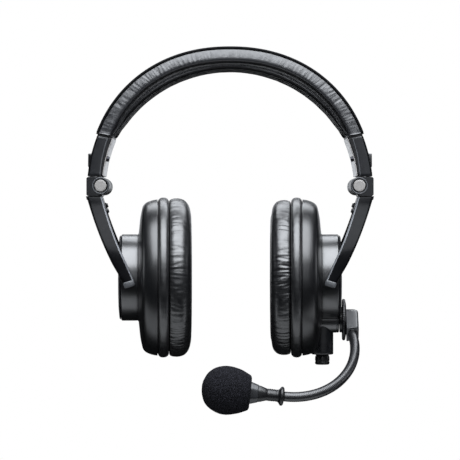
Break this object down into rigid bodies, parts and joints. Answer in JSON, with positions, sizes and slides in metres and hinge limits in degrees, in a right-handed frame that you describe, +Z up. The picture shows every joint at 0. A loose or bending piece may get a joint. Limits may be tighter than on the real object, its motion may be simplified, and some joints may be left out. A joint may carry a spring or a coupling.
{
  "type": "headset microphone",
  "caption": "Over-ear two-sided headset with a padded spring headband, folding swivelling ear cups and a swinging gooseneck boom microphone with a foam windscreen.",
  "frame": {"origin": "middle of the headband pad's underside, which rests on the crown of the head", "axes": "+Z up, +X towards the cup that carries the boom, -Y the way the wearer faces"},
  "size_m": [0.1722, 0.1313, 0.213],
  "materials": {
    "headband_leather": "soft black leatherette",
    "pad_leather": "smooth soft black leatherette over foam",
    "satin_plastic": "satin charcoal",
    "gloss_plastic": "semi-gloss charcoal",
    "black_plastic": "black moulded",
    "black_rubber": "matte black",
    "spring_steel": "brushed",
    "screw_steel": "dark plated",
    "magnet_steel": "plain",
    "hinge_cap": "satin light grey",
    "diaphragm_film": "clear grey film",
    "grille_cloth": "black acoustic cloth on a stiff disc",
    "foam": "open-cell black foam"
  },
  "bodies": {
    "headband": {"headband_cover": "headband_leather", "headband_spring": "spring_steel", "headband_pad": "pad_leather", "left_end_housing": "satin_plastic", "left_end_cover": "gloss_plastic", "left_end_screw": "screw_steel", "left_end_badge": "satin_plastic", "right_end_housing": "satin_plastic", "right_end_cover": "gloss_plastic", "right_end_screw": "screw_steel", "right_end_badge": "satin_plastic"},
    "left_slider": {"left_slider_blade": "spring_steel", "left_hinge_block": "satin_plastic", "left_hinge_pin": "hinge_cap", "left_hinge_pin_cap": "hinge_cap"},
    "left_knuckle": {"left_hinge_knuckle": "gloss_plastic", "left_swivel_screw": "screw_steel"},
    "left_yoke": {"left_yoke": "satin_plastic", "left_cable_grommet": "black_rubber"},
    "left_cup": {"left_rear_housing": "satin_plastic", "left_cup_shell": "satin_plastic", "left_rear_cap": "satin_plastic", "left_baffle": "black_plastic", "left_pad_skirt": "pad_leather", "left_ear_pad": "pad_leather", "left_driver_basket": "black_plastic", "left_driver_magnet": "magnet_steel", "left_driver_diaphragm": "diaphragm_film", "left_driver_grille": "grille_cloth"},
    "right_slider": {"right_slider_blade": "spring_steel", "right_hinge_block": "satin_plastic", "right_hinge_pin": "hinge_cap", "right_hinge_pin_cap": "hinge_cap"},
    "right_knuckle": {"right_hinge_knuckle": "gloss_plastic", "right_swivel_screw": "screw_steel"},
    "right_yoke": {"right_yoke": "satin_plastic", "right_cable_grommet": "black_rubber"},
    "right_cup": {"right_rear_housing": "satin_plastic", "right_cup_shell": "satin_plastic", "right_rear_cap": "satin_plastic", "right_baffle": "black_plastic", "right_pad_skirt": "pad_leather", "right_ear_pad": "pad_leather", "right_driver_basket": "black_plastic", "right_driver_magnet": "magnet_steel", "right_driver_diaphragm": "diaphragm_film", "right_driver_grille": "grille_cloth", "boom_housing": "satin_plastic", "cable_socket": "black_plastic", "socket_insert": "black_rubber"},
    "boom": {"boom_hub": "black_plastic", "boom_disc": "satin_plastic", "boom_holder": "satin_plastic", "gooseneck_lower": "black_rubber"},
    "microphone": {"gooseneck_upper": "black_rubber", "mic_collar": "black_rubber", "mic_housing_front": "satin_plastic", "mic_housing_rear": "satin_plastic", "mic_capsule": "screw_steel"},
    "windscreen": {"windscreen": "foam"}
  },
  "joints": [
    {"name": "left_adjust", "type": "slide", "parent": "headband", "child": "left_slider", "axis": [-0.1736, 0, -0.9848], "range_m": [0, 0.022]},
    {"name": "left_fold", "type": "hinge", "parent": "left_slider", "child": "left_knuckle", "pos_m": [-0.0765, 0, -0.0695], "axis": [0, 1, 0], "range_deg": [-30, 0]},
    {"name": "left_swivel", "type": "hinge", "parent": "left_knuckle", "child": "left_yoke", "pos_m": [-0.0796, 0, -0.0759], "axis": [0, 0, 1], "range_deg": [-10, 10]},
    {"name": "left_tilt", "type": "hinge", "parent": "left_yoke", "child": "left_cup", "pos_m": [-0.06091, 0.00065, -0.1242], "axis": [0.0349, -0.9994, 0], "range_deg": [-12, 12]},
    {"name": "right_adjust", "type": "slide", "parent": "headband", "child": "right_slider", "axis": [0.1736, 0, -0.9848], "range_m": [0, 0.022]},
    {"name": "right_fold", "type": "hinge", "parent": "right_slider", "child": "right_knuckle", "pos_m": [0.0765, 0, -0.0695], "axis": [0, 1, 0], "range_deg": [0, 30]},
    {"name": "right_swivel", "type": "hinge", "parent": "right_knuckle", "child": "right_yoke", "pos_m": [0.0796, 0, -0.0759], "axis": [0, 0, 1], "range_deg": [-10, 10]},
    {"name": "right_tilt", "type": "hinge", "parent": "right_yoke", "child": "right_cup", "pos_m": [0.06091, 0.00065, -0.1242], "axis": [-0.0349, -0.9994, 0], "range_deg": [-12, 12]},
    {"name": "boom_swing", "type": "hinge", "parent": "right_cup", "child": "boom", "pos_m": [0.06801, 0.0004, -0.1495], "axis": [-0.9994, 0.0349, 0], "range_deg": [-180, 60]},
    {"name": "gooseneck_flex", "type": "hinge", "parent": "boom", "child": "microphone", "pos_m": [0.06424, -0.05203, -0.18118], "axis": [0.0175, 0.4997, -0.866], "range_deg": [-20, 20]},
    {"name": "windscreen_pull", "type": "slide", "parent": "microphone", "child": "windscreen", "axis": [-0.9942, 0, 0.108], "range_m": [0, 0.014]}
  ]
}
